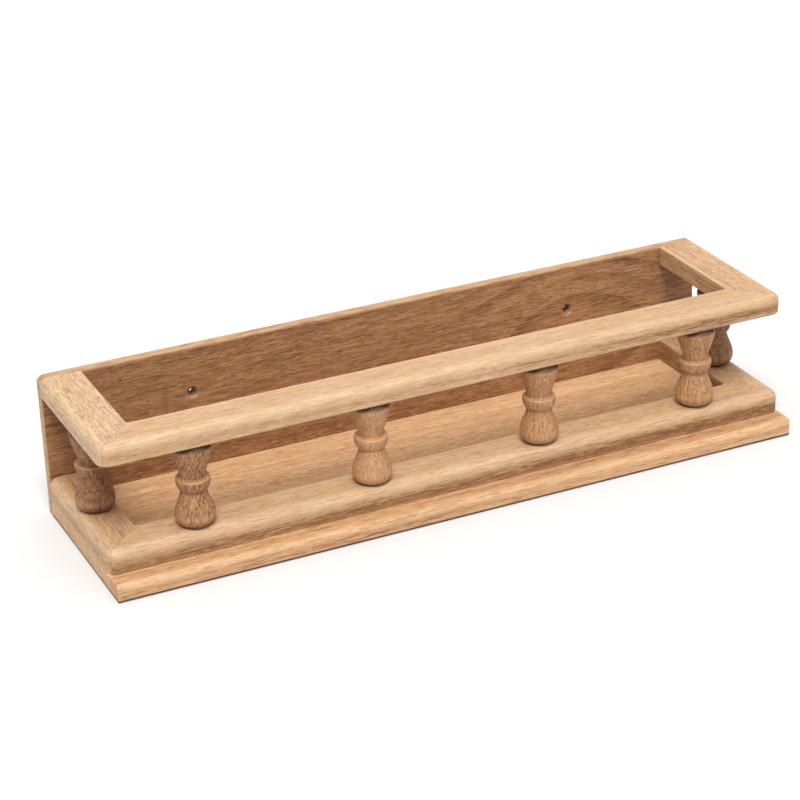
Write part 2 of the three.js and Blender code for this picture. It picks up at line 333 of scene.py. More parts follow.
thick = back - front
hanging_profile = [
    (HANGING_SINK + 1.5 * HOLE_ARRIS, 0), (HANGING_SINK + 0.4 * HOLE_ARRIS, 0.4 * HOLE_ARRIS),
    (HANGING_SINK - 0.6 * HOLE_ARRIS, 1.6 * HOLE_ARRIS),
    (HANGING_BORE + HOLE_ARRIS, HANGING_SINK_DEPTH - HOLE_ARRIS), (HANGING_BORE, HANGING_SINK_DEPTH),
    (HANGING_BORE, thick - 2 * HOLE_ARRIS), (HANGING_BORE + 2 * HOLE_ARRIS, thick),
]
screw_profile = [
    (SCREW_BORE + HOLE_ARRIS, 0), (SCREW_BORE, HOLE_ARRIS), (SCREW_BORE, thick - SCREW_SINK_DEPTH),
    (SCREW_SINK - 0.8 * HOLE_ARRIS, thick - HOLE_ARRIS), (SCREW_SINK, thick),
]
walls = [drilled(x, z, HANGING_BLOCK, hanging_profile, front, back) for x, z in HANGING_PLACES]
walls += [drilled(x, z, SCREW_BLOCK, screw_profile, front, back) for x, z in screw_places]

# The rim runs round the outline, from the left end along the foot, and carries a quarter round, a
# flat strip and a second quarter round from the front face to the back face.
rim = np.concatenate([
    np.stack([grid_x[0], grid_z[0]], axis=-1),
    np.stack([grid_x[1:, -1], grid_z[1:, -1]], axis=-1),
    np.stack([grid_x[-1, -2::-1], grid_z[-1, -2::-1]], axis=-1),
    np.stack([grid_x[-2:0:-1, 0], grid_z[-2:0:-1, 0]], axis=-1),
])
outward = np.zeros_like(rim)
columns, rows = len(across), len(up)
outward[:columns, 1] = -1
outward[columns - 1:columns + rows - 1, 0] = 1
top_slice = slice(columns + rows - 2, 2 * columns + rows - 2)
lean = np.concatenate([bend[::-1], 0 * straight, -bend])
outward[top_slice] = np.stack([np.sin(lean), np.cos(lean)], axis=-1)
outward[2 * columns + rows - 2:, 0] = -1
outward[0] = (-1, -1)
quarter = np.linspace(0, math.pi / 2, EASE_STEPS + 1)
flat = np.linspace(front + EASE, back - EASE, FLAT_ROWS + 2)[1:-1]
in_from_face = EASE * (1 - np.cos(quarter))
rim_y = np.concatenate([front + in_from_face, flat, back - in_from_face[::-1]])
quarter_out = EASE * np.sin(quarter)
rim_out = np.concatenate([quarter_out, np.full(FLAT_ROWS, EASE), quarter_out[::-1]])
rim_plan = rim[None] + rim_out[:, None, None] * outward[None]
rim_points = np.stack([
    rim_plan[..., 0], np.broadcast_to(rim_y[:, None], rim_plan.shape[:2]), rim_plan[..., 1]
], axis=-1)
panel = sew("back_board", [
    patch(panel_face(front), panel_wear, keep=keep),
    patch(panel_face(back)[:, ::-1], panel_wear[:, ::-1], keep=keep[:, ::-1]),
    patch(rim_points[::-1], 1.0, closed=True),
] + walls)


def calc(tree, operation, *values, clamp=False):
    """One sum on values or other nodes' outputs."""
    made = add_node(tree, "ShaderNodeMath", dict(enumerate(values)), operation=operation)
    made.use_clamp = clamp
    return made.outputs[0]


def between(tree, value, low, high, to_low=0.0, to_high=1.0):
    """A value's place between low and high, eased at both ends and carried to a new range."""
    values = {"Value": value, "From Min": low, "From Max": high, "To Min": to_low, "To Max": to_high}
    return add_node(tree, "ShaderNodeMapRange", values, interpolation_type="SMOOTHSTEP").outputs[0]


def stretched(tree, vector, along, across, shift=0.0):
    """Grain coordinates in millimetres divided by a length along and a width across the grain."""
    values = {
        "Vector": vector, "Scale": (1 / along, 1 / across, 1 / across),
        "Location": (shift, shift * 0.7, shift * 1.3),
    }
    return add_node(tree, "ShaderNodeMapping", values).outputs[0]


def vector_calc(tree, operation, a, b):
    """One sum on two vectors, or on a vector and a number to scale it by."""
    values = {0: a, "Scale" if operation == "SCALE" else 1: b}
    return add_node(tree, "ShaderNodeVectorMath", values, operation=operation).outputs[0]


def noise(tree, vector, detail=2.0, rough=0.5):
    """Noise with cells one unit of the vector across."""
    values = {"Vector": vector, "Scale": 1.0, "Detail": detail, "Roughness": rough}
    return add_node(tree, "ShaderNodeTexNoise", values)


PORE_BLACK = (0.04, 0.017, 0.008, 1)
# The colour of the painted shade deep in holes.
PAINTED_SHADE_BLACK = (0.035, 0.016, 0.008, 1)
HUE_WARM = (1.0, 0.985, 0.94, 1)
HUE_ROSY = (1.0, 0.955, 0.99, 1)
SATIN = 0.48
TEAK_SPECULAR = 0.35


def teak_group():
    """Oiled teak as a solid. Grain runs along the first axis, and the heart of the tree is at zero
    on the other two. Rings are shells round the heart, pale in their first growth and darker to
    their last. Streaks, bands and dashes are noise drawn out along the grain."""
    tree = bpy.data.node_groups.new("teak", "ShaderNodeTree")
    for name, kind, value in [
        ("Vector", "NodeSocketVector", None), ("Pale", "NodeSocketColor", (0.7, 0.5, 0.3, 1)),
        ("Mid", "NodeSocketColor", (0.5, 0.3, 0.2, 1)), ("Dark", "NodeSocketColor", (0.2, 0.1, 0.1, 1)),
        ("Ring Width", "NodeSocketFloat", 4.0), ("Ring Strength", "NodeSocketFloat", 0.5),
        ("Ring Shift", "NodeSocketFloat", 0.0), ("Waver", "NodeSocketFloat", 2.0),
        ("Streaks", "NodeSocketFloat", 0.5), ("Bands", "NodeSocketFloat", 0.5),
        ("Pores", "NodeSocketFloat", 0.5), ("Flecks", "NodeSocketFloat", 0.3),
        ("Tone", "NodeSocketFloat", 0.4), ("Wear And Painted Light", "NodeSocketFloat", 0.0),
        ("Veins", "NodeSocketFloat", 0.2), ("Rubbed", "NodeSocketColor", (0.8, 0.6, 0.4, 1)),
        ("Rub", "NodeSocketFloat", 0.4),
    ]:
        socket = tree.interface.new_socket(name, in_out="INPUT", socket_type=kind)
        if value is not None:
            socket.default_value = value
    for name, kind in [
        ("Color", "NodeSocketColor"), ("Roughness", "NodeSocketFloat"), ("Height", "NodeSocketFloat")
    ]:
        tree.interface.new_socket(name, in_out="OUTPUT", socket_type=kind)
    given = tree.nodes.new("NodeGroupInput").outputs
    made = tree.nodes.new("NodeGroupOutput").inputs

    # The grain wanders off its straight line by a slow noise.
    millimetres = vector_calc(tree, "MULTIPLY", given["Vector"], (1000, 1000, 1000))
    drift = noise(tree, stretched(tree, millimetres, 130, 26), 2.0).outputs["Color"]
    drift = vector_calc(tree, "SUBTRACT", drift, (0.5, 0.5, 0.5))
    drift = vector_calc(tree, "SCALE", drift, given["Waver"])
    grain = vector_calc(tree, "ADD", millimetres, drift)

    # Growth rings, each with its own strength. The ripple is in millimetres.
    across = vector_calc(tree, "MULTIPLY", grain, (0, 1, 1))
    radius = add_node(tree, "ShaderNodeVectorMath", {0: across}, operation="LENGTH").outputs["Value"]
    ripple = calc(tree, "MULTIPLY", noise(tree, stretched(tree, grain, 60, 5), 3.0).outputs[0], 1.1)
    radius = calc(tree, "ADD", calc(tree, "ADD", radius, given["Ring Shift"]), ripple)
    count = calc(tree, "DIVIDE", radius, given["Ring Width"])
    phase = calc(tree, "FRACT", count)
    each = add_node(
        tree, "ShaderNodeTexWhiteNoise", {"W": calc(tree, "FLOOR", count)}, noise_dimensions="1D"
    ).outputs["Value"]
    late = calc(tree, "MULTIPLY", between(tree, phase, 0.1, 0.93), between(tree, phase, 1.0, 0.95))
    late = calc(tree, "MULTIPLY", late, calc(tree, "MULTIPLY_ADD", each, 0.7, 0.3))

    # Streaks, bands and the tone that they add up to.
    fine = noise(tree, stretched(tree, grain, 12, 0.75), 3.0, 0.6).outputs[0]
    broad = noise(tree, stretched(tree, grain, 48, 2.1, 7.1), 2.0, 0.55).outputs[0]
    band = noise(tree, stretched(tree, millimetres, 240, 13, 3.3), 2.0).outputs[0]
    tone = calc(tree, "MULTIPLY_ADD", late, given["Ring Strength"], given["Tone"])
    vein = noise(tree, stretched(tree, grain, 26, 0.7, 53.1), 1.0, 0.5).outputs[0]
    tone = calc(tree, "MULTIPLY_ADD", between(tree, vein, 0.56, 0.66), given["Veins"], tone)
    both = calc(
        tree, "MULTIPLY_ADD", between(tree, broad, 0.32, 0.68, -0.5, 0.5), 0.4,
        between(tree, fine, 0.36, 0.64, -0.5, 0.5),
    )
    tone = calc(tree, "MULTIPLY_ADD", both, given["Streaks"], tone)
    sway = between(tree, band, 0.3, 0.7, -0.5, 0.5)
    tone = calc(tree, "MULTIPLY_ADD", sway, given["Bands"], tone, clamp=True)
    colour = mixed(tree, between(tree, tone, 0.0, 0.55), given["Pale"], given["Mid"])
    colour = mixed(tree, between(tree, tone, 0.5, 1.0), colour, given["Dark"])

    # Open pores cut lengthwise show as fine dark dashes, thickest in the first growth of a ring.
    # Between them lie short pale flecks.
    dash = noise(tree, stretched(tree, grain, 5.5, 0.62, 17.3), 1.0, 0.5).outputs[0]
    cluster = noise(tree, stretched(tree, grain, 30, 6, 41.9), 1.0).outputs[0]
    limit = calc(tree, "MULTIPLY_ADD", cluster, -0.12, 0.63)
    pore = between(tree, calc(tree, "SUBTRACT", dash, limit), 0.0, 0.06)
    early = between(tree, phase, 0.75, 0.2, 0.5, 1.0)
    pore = calc(tree, "MULTIPLY", pore, calc(tree, "MULTIPLY", early, given["Pores"]))
    spot = noise(tree, stretched(tree, grain, 6.5, 0.62, 31.7), 1.0, 0.5).outputs[0]
    fleck = calc(tree, "MULTIPLY", between(tree, spot, 0.57, 0.66), given["Flecks"])
    colour = mixed(tree, fleck, colour, mixed(tree, 0.4, given["Pale"], given["Rubbed"]))
    colour = mixed(tree, pore, colour, mixed(tree, 0.35, given["Dark"], PORE_BLACK))

    # Slow change of hue, and edges painted paler: partly rubbed wear, partly a painted highlight where
    # rounded edges catch the light.
    hue = noise(tree, stretched(tree, millimetres, 90, 22, 11.9), 2.0).outputs[0]
    warm = mixed(tree, between(tree, hue, 0.3, 0.7), HUE_WARM, HUE_ROSY)
    colour = mixed(tree, 1.0, colour, warm, "MULTIPLY")
    patchy = noise(tree, stretched(tree, millimetres, 14, 3, 5.5), 3.0).outputs[0]
    rubbed = calc(tree, "MULTIPLY", given["Wear And Painted Light"], between(tree, patchy, 0.3, 0.6, 0.35, 1.0))
    colour = mixed(tree, calc(tree, "MULTIPLY", rubbed, given["Rub"]), colour, given["Rubbed"])
    # Wear below zero is painted shade, as deep in a hole.
    painted_shade = calc(tree, "MULTIPLY", given["Wear And Painted Light"], -1.0, clamp=True)
    # Painted shade: the colour is darkened where the wear value is below zero.
    colour = mixed(tree, painted_shade, colour, PAINTED_SHADE_BLACK)
    tree.links.new(colour, made["Color"])

    # Dark grain and open pores are duller than the satin between, and rubbed edges shine.
    rough = calc(tree, "MULTIPLY_ADD", tone, 0.12, SATIN)
    rough = calc(tree, "MULTIPLY_ADD", pore, 0.2, rough)
    rough = calc(tree, "MULTIPLY_ADD", rubbed, -0.1, rough, clamp=True)
    tree.links.new(rough, made["Roughness"])
    height = calc(tree, "MULTIPLY_ADD", pore, -0.05, calc(tree, "MULTIPLY", fine, 0.04))
    height = calc(tree, "MULTIPLY_ADD", late, 0.02, height)
    tree.links.new(height, made["Height"])
    return tree


TEAK = teak_group()


def shade(red, green, blue):
    """A colour given as it looks on a sheet, 0 to 255, turned into light."""
    value = np.array([red, green, blue]) / 255
    light = np.where(value <= 0.04045, value / 12.92, ((value + 0.055) / 1.055) ** 2.4)
    return (*light.tolist(), 1.0)


def teak(name, heart, turn, colours, **amounts):
    """A teak material. heart is where the tree's heart lies, turn lays the first axis along the
    grain, colours are pale, mid, dark and rubbed, and the amounts go to the group's inputs."""
    material = bpy.data.materials.new(name)
    material.use_nodes = True
    tree = material.node_tree
    place = tree.nodes.new("ShaderNodeTexCoord").outputs["Object"]
    place = vector_calc(tree, "SUBTRACT", place, heart)
    place = add_node(tree, "ShaderNodeMapping", {"Vector": place, "Rotation": turn}).outputs[0]
    values = {"Vector": place, "Pale": colours[0], "Mid": colours[1], "Dark": colours[2]}
    values |= {"Rubbed": colours[3], **amounts}
    values["Wear And Painted Light"] = add_node(tree, "ShaderNodeAttribute", {}, attribute_name="wear_and_painted_light").outputs["Fac"]
    wood = tree.nodes.new("ShaderNodeGroup")
    wood.node_tree = TEAK
    for key, value in values.items():
        socket_value(tree, wood.inputs[key], value)
    surface = tree.nodes["Principled BSDF"]
    surface.inputs["Specular IOR Level"].default_value = TEAK_SPECULAR
    tree.links.new(wood.outputs["Color"], surface.inputs["Base Color"])
    tree.links.new(wood.outputs["Roughness"], surface.inputs["Roughness"])
    values = {"Strength": 1.0, "Distance": 0.001, "Height": wood.outputs["Height"]}
    bump = add_node(tree, "ShaderNodeBump", values)
    tree.links.new(bump.outputs[0], surface.inputs["Normal"])
    return material


def object_axis(material, axis):
    """One of the object coordinates of a material made by teak, and its wood group node."""
    tree = material.node_tree
    place = next(n for n in tree.nodes if n.type == "TEX_COORD").outputs["Object"]
    wood = next(n for n in tree.nodes if n.type == "GROUP")
    return tree, wood, add_node(tree, "ShaderNodeSeparateXYZ", {0: place}).outputs[axis]


def darkened(material, share, colour):
    """Lays a dark colour over the wood by a share."""
    tree = material.node_tree
    target = tree.nodes["Principled BSDF"].inputs["Base Color"]
    wood = target.links[0].from_socket
    tree.links.new(mixed(tree, share, wood, colour), target)


ALONG_X = (0, 0, 0)
ALONG_Y = (0, 0, -math.pi / 2)
ALONG_Z = (0, math.pi / 2, 0)

PANEL_HEART = (0.0, front + 0.080, 0.038)
PANEL_TONE = 0.38
panel_teak = teak(
    "teak_panel_wood", PANEL_HEART, ALONG_X,
    (shade(174, 129, 88), shade(141, 98, 63), shade(96, 61, 36), shade(190, 152, 112)),
    **{"Ring Width": 6.0, "Waver": 0.8, "Streaks": 0.46, "Bands": 0.15, "Pores": 0.6, "Flecks": 0.6,
       "Tone": PANEL_TONE, "Rub": 0.85},
)

# The saw passed over a swelling in the trunk, so the rings close round a point near the right end.
# There the rings lie deeper, stand out more and are set in paler wood. The swelling falls off along
# the board as a bell curve.
OVAL_X = 0.137
OVAL_REACH = 0.075
OVAL_DEPTH = 15.0
OVAL_RINGS = 0.62
OVAL_PALER = 0.22
PLAIN_RINGS = 0.13
tree, wood, x_place = object_axis(panel_teak, 0)
offset = calc(tree, "DIVIDE", calc(tree, "SUBTRACT", x_place, OVAL_X), OVAL_REACH)
swell = calc(tree, "EXPONENT", calc(tree, "MULTIPLY", calc(tree, "MULTIPLY", offset, offset), -1.0))
tree.links.new(calc(tree, "MULTIPLY", swell, -OVAL_DEPTH), wood.inputs["Ring Shift"])
tree.links.new(calc(tree, "MULTIPLY_ADD", swell, OVAL_RINGS, PLAIN_RINGS), wood.inputs["Ring Strength"])
tree.links.new(calc(tree, "MULTIPLY_ADD", swell, -OVAL_PALER, PANEL_TONE), wood.inputs["Tone"])
finish_piece(panel, "back_panel", panel_teak)

# ---------------------------------------------------------------- base board
# A flat teak board that makes the floor of the tray and a step in front of it. The upper front edge
# is rounded over, the ends show end grain, and the back edge butts against the panel.
STEP_ROUND = 0.004
FOOT_ROUND = 0.0016
BACK_ROUND = 0.0003
PLAN_ROUND = 0.0022
PLAN_REACH = 0.006  # how far along the board the rounding's shift is spread
END_EASE = 0.0006
END_RUB = 0.0022
END_ROWS = [0.0016, 0.003, 0.006]  # places of rows near an end, where the wear changes fast
MIDDLE_START = 0.012
MIDDLE_ROWS = 40
CAP_SHARES = (0, 0.3, 0.65)
BOARD_CAP_SHARES = (0, 0.3, 0.65, 0.93, 0.965, 0.985)
ARC_STEPS = 8
BESIDE_ARC = np.array([0.0007, 0.0016, 0.003])  # places of points on a flat next to an arc
ARRIS_RUB = 0.0025
END_STEPS = 4


def rounded_loop(corners, radii):
    """A closed outline through (a, z) corners, each rounded to its radius: arcs, with extra points
    beside them on the flats. Gives points, outward normals, and wear with a painted highlight, which is
    full on the arcs."""
    corners, points, normals, wear_and_painted_light = np.array(corners, float), [], [], []
    (a, z), (next_a, next_z) = corners.T, np.roll(corners, -1, axis=0).T
    turn = 1 if np.sum(a * next_z - next_a * z) > 0 else -1
    for index, radius in enumerate(radii):
        here = corners[index]
        into = here - corners[index - 1]
        out = corners[(index + 1) % len(corners)] - here
        run, into, out = np.linalg.norm(out), into / np.linalg.norm(into), out / np.linalg.norm(out)
        centre = here - into * radius + out * radius
        first = turn * np.array([into[1], -into[0]])
        second = turn * np.array([out[1], -out[0]])
        angle = np.linspace(0, math.pi / 2, ARC_STEPS + 1)[:, None]
        normal = first * np.cos(angle) + second * np.sin(angle)
        points.append(centre + radius * normal)
        normals.append(normal)
        wear_and_painted_light.append(np.ones(ARC_STEPS + 1))
        after = radii[(index + 1) % len(corners)]
        length = run - radius - after
        steps = np.concatenate([BESIDE_ARC, [0.5 * length], length - BESIDE_ARC])
        steps = np.unique(steps.round(9))
        points.append(centre + radius * second + out * steps[:, None])
        normals.append(np.repeat(second[None], len(steps), axis=0))
        wear_and_painted_light.append(near(np.minimum(steps, length - steps), ARRIS_RUB))
    return np.vstack(points), np.vstack(normals), np.concatenate(wear_and_painted_light)


def eased_end(round_off):
    """Rows at the end of a stick: how far each row lies from the end, and how far it is drawn in, as
    the quarter circle of an eased arris gives them."""
    angle = np.linspace(math.pi / 2, 0, END_STEPS + 1)
    return round_off * (1 - np.sin(angle)), round_off * (1 - np.cos(angle))


def closed_rows(points, shares=CAP_SHARES):
    """Closes both ends of rows of outline points: each end gets rings that shrink to its middle."""
    caps = []
    for row in (points[0], points[-1]):
        middle = row.mean(axis=0)
        caps.append(np.stack([middle + share * (row - middle) for share in shares]))
    return np.concatenate([caps[0], points, caps[1][::-1]])


low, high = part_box("base_board")
loop, loop_normal, loop_wear = rounded_loop(
    [(high.y, low.z), (high.y, high.z), (low.y, high.z), (low.y, low.z)],
    [BACK_ROUND, BACK_ROUND, STEP_ROUND, FOOT_ROUND],
)
gap, drawn = eased_end(END_EASE)
from_end = np.concatenate([gap, END_ROWS])
middle = np.linspace(low.x + MIDDLE_START, high.x - MIDDLE_START, MIDDLE_ROWS)
station = np.concatenate([low.x + from_end, middle, high.x - from_end[::-1]])
draw = np.concatenate([drawn, np.zeros(len(station) - 2 * len(drawn)), drawn[::-1]])
section = loop[None] - draw[:, None, None] * loop_normal[None]
x = np.broadcast_to(station[:, None], section.shape[:2])
rows = np.stack([x, section[..., 0], section[..., 1]], axis=-1)
end_wear = near(np.minimum(station - low.x, high.x - station) - END_EASE, END_RUB)
cap_wear = np.zeros((len(BOARD_CAP_SHARES), len(loop)))
row_wear = np.concatenate([cap_wear, np.maximum(loop_wear[None], end_wear[:, None]), cap_wear])

# The right front corner is rounded in plan: near the end, a point b behind the front edge moves in
# by r - sqrt(r^2 - (r - b)^2), where b is less than r. The shift fades out along the board.
rows = closed_rows(rows, BOARD_CAP_SHARES)
behind = np.clip(PLAN_ROUND - (rows[..., 1] - low.y), 0, PLAN_ROUND)
cut = PLAN_ROUND - np.sqrt(PLAN_ROUND ** 2 - behind ** 2)
rows[..., 0] -= cut * np.clip((rows[..., 0] - (high.x - PLAN_REACH)) / PLAN_REACH, 0, 1)
board = sew("floor_board", [patch(rows, row_wear, closed=True)])

BOARD_HEART = (0.0, 0.015, -0.055)
FLOOR_TONE = 0.24
STEP_TONE = 0.48
STEP_BLEND = 0.002
# A painted contact shadow along the foot of the board: its band and its colour.
CONTACT_SHADE_FADE = 0.0021
CONTACT_SHADE_FULL = 0.0011
CONTACT_SHADE_COVER = 0.95
CONTACT_SHADE_COLOUR = shade(44, 32, 25)
board_teak = teak(
    "teak_board_wood", BOARD_HEART, ALONG_X,
    (shade(219, 183, 140), shade(194, 149, 106), shade(143, 96, 58), shade(212, 180, 141)),
    **{"Ring Width": 4.4, "Ring Strength": 0.2, "Streaks": 0.4, "Bands": 0.2, "Pores": 0.45,
       "Flecks": 0.35, "Tone": FLOOR_TONE, "Rub": 0.35},
)

# The step in front of the rails has darkened more than the sheltered floor of the tray.
step_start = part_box("base_front_rail")[0].y
tree, wood, y_place = object_axis(board_teak, 1)
step_tone = between(tree, y_place, step_start + STEP_BLEND, step_start, FLOOR_TONE, STEP_TONE)
tree.links.new(step_tone, wood.inputs["Tone"])

# Its lowest edge, where it rests, is painted dark: a painted contact shadow along the foot.
tree, wood, z_place = object_axis(board_teak, 2)
contact_shade = between(tree, z_place, low.z + CONTACT_SHADE_FADE, low.z + CONTACT_SHADE_FULL, 0.0, CONTACT_SHADE_COVER)
darkened(board_teak, contact_shade, CONTACT_SHADE_COLOUR)
finish_piece(board, "base_board", board_teak)

# ---------------------------------------------------------------- the two rail frames
# Teak rails, planed to one section and mitred at the front corners, glued and keyed. A low frame lies
# on the board, and the gallery rail stands on the spindles. The outer top edge is rounded over all the
# way round after gluing, so the rounding follows the plan corners.
GLUE_GAP = 0.0001
MITRE_EASE = 0.00018
MITRE_WEAR = 0.6
MITRE_STEPS = 3
CORNER_ROWS = 6
FAN_LENGTH = 0.020  # length of rail over which the rows turn from square to the mitre
FAN_ROWS = 10
INNER_TOP_EASE = 0.0008
INNER_FOOT_EASE = 0.0006
FRONT_START = 0.026  # the square rows begin this far past the mitre
FRONT_ROWS = 40
SIDE_START = 0.024
SIDE_STOP = 0.004
SIDE_ROWS = 12
SIDE_END_EASE = 0.0003
FRAMES = [
    # name, width over the mitre, top rounding, plan corner, lower edge, inner plan corner, how much
    # painted shade darkens the front face and how far down that is full, and how much darker the inner
    # side of the right rail is
    ("base", 0.0255, 0.0055, 0.0060, 0.0006, 0.0030, 0.50, 0.0135, 0.40),
    ("top", 0.0260, 0.0045, 0.0075, 0.0012, 0.0018, 0.16, 0.0060, 0.02),
]


def mitred_rows(a, normal, z, normal_z, width, corner, fillet, skew_from):
    """Rows of one rail near a mitred corner. t is measured along the rail from the outer corner, b
    across it from the outer edge. Near the outer edge the rows follow the corner's arc square to
    it; further in they fan out to the mitre line and follow the arc of the opening's corner. The
    last rows are drawn in for an eased arris."""
    arc = np.linspace(0, math.pi / 4, CORNER_ROWS + 1)[1:]
    straight = np.linspace(skew_from, corner, FAN_ROWS)
    outer_t = np.concatenate([straight, corner - corner * np.sin(arc)])
    outer_b = np.concatenate([0 * straight, corner - corner * np.cos(arc)])
    inward = np.concatenate([0 * straight, arc])
    share = (skew_from - straight) / (skew_from - corner)
    inner_t = np.concatenate([
        skew_from - share * (skew_from - width - fillet), width + fillet * (1 - np.sin(arc))
    ])
    inner_b = np.concatenate([np.full(len(straight), width), width + fillet * (1 - np.cos(arc))])
    ease = np.linspace(0, math.pi / 2, MITRE_STEPS + 1)[1:]
    outer_t, outer_b, inward, inner_t, inner_b = (
        np.concatenate([v, np.repeat(v[-1:], MITRE_STEPS)])[:, None]
        for v in (outer_t, outer_b, inward, inner_t, inner_b)
    )
    eased_pull = MITRE_EASE * (1 - np.sin(ease))
    pull = np.concatenate([share * MITRE_EASE, np.full(CORNER_ROWS, MITRE_EASE), eased_pull])
    pull += np.concatenate([share * GLUE_GAP, np.full(CORNER_ROWS + MITRE_STEPS, GLUE_GAP)])
    full_rows = np.zeros(FAN_ROWS + CORNER_ROWS)
    draw = np.concatenate([full_rows, MITRE_EASE * (1 - np.cos(ease))])
    across = a[None] - draw[:, None] * normal[None]
    height = z[None] - draw[:, None] * normal_z[None]
    reach = np.minimum(across, corner)
    t = outer_t + reach * np.sin(inward)
    b = outer_b + reach * np.cos(inward)
    beyond = np.clip((across - corner) / (width - corner), 0, None)
    t = t + beyond * (inner_t - t)
    b = b + beyond * (inner_b - b)
    wear_and_painted_light = np.concatenate([full_rows, np.full(MITRE_STEPS, MITRE_WEAR)])
    return t + pull[:, None], b, height, wear_and_painted_light


def wear_of_rows(rows_wear, loop_wear):
    """Wear along and round a rail: the larger of a row's own and the section's. The rows that close
    the two ends have none."""
    caps = np.zeros((len(CAP_SHARES), len(loop_wear)))
    return np.concatenate([caps, np.maximum(rows_wear[:, None], loop_wear[None]), caps])


RAIL_LOOKS = {
    # rail: where the heart of the tree lies, then the amounts below
    "base_front": ((0.05, -0.012, -0.060), (0.10, 0.33, 0.10, 0.42, 0.40, 0.33, 4.2)),
    "base_left": ((-0.190, 0.0, -0.060), (0.12, 0.38, 0.12, 0.45, 0.35, 0.44, 3.6)),
    "base_right": ((0.250, 0.0, -0.060), (0.12, 0.38, 0.12, 0.45, 0.40, 0.32, 3.8)),
    "top_front": ((-0.1, -0.020, -0.030), (0.10, 0.30, 0.12, 0.38, 0.35, 0.27, 4.6)),
    "top_left": ((-0.240, 0.1, -0.045), (0.12, 0.40, 0.12, 0.62, 0.50, 0.24, 3.0)),
    "top_right": ((0.170, 0.1, -0.040), (0.16, 0.40, 0.12, 0.50, 0.35, 0.38, 3.6)),
}
AMOUNTS = ["Ring Strength", "Streaks", "Bands", "Pores", "Flecks", "Tone", "Ring Width"]
RAIL_COLOURS = (
    shade(202, 174, 139), shade(181, 143, 103), shade(128, 87, 52), shade(212, 186, 152)
)
RAIL_RUB = 0.26
RAIL_VEINS = 0.22
# Painted shade on the front faces of the rails begins this far below the top face.
FACE_SHADE_FROM = 0.002  # below the top face
# The front rails are also darker towards the right end.
RIGHT_END = 0.19  # where along the rack the darkening to the right is full
RIGHT_FACE_DARKER = 0.2
RIGHT_DARKER = 0.07
HEARTWOOD_FROM = 0.0032  # measured out from the opening
HEARTWOOD_FULL = 0.0006

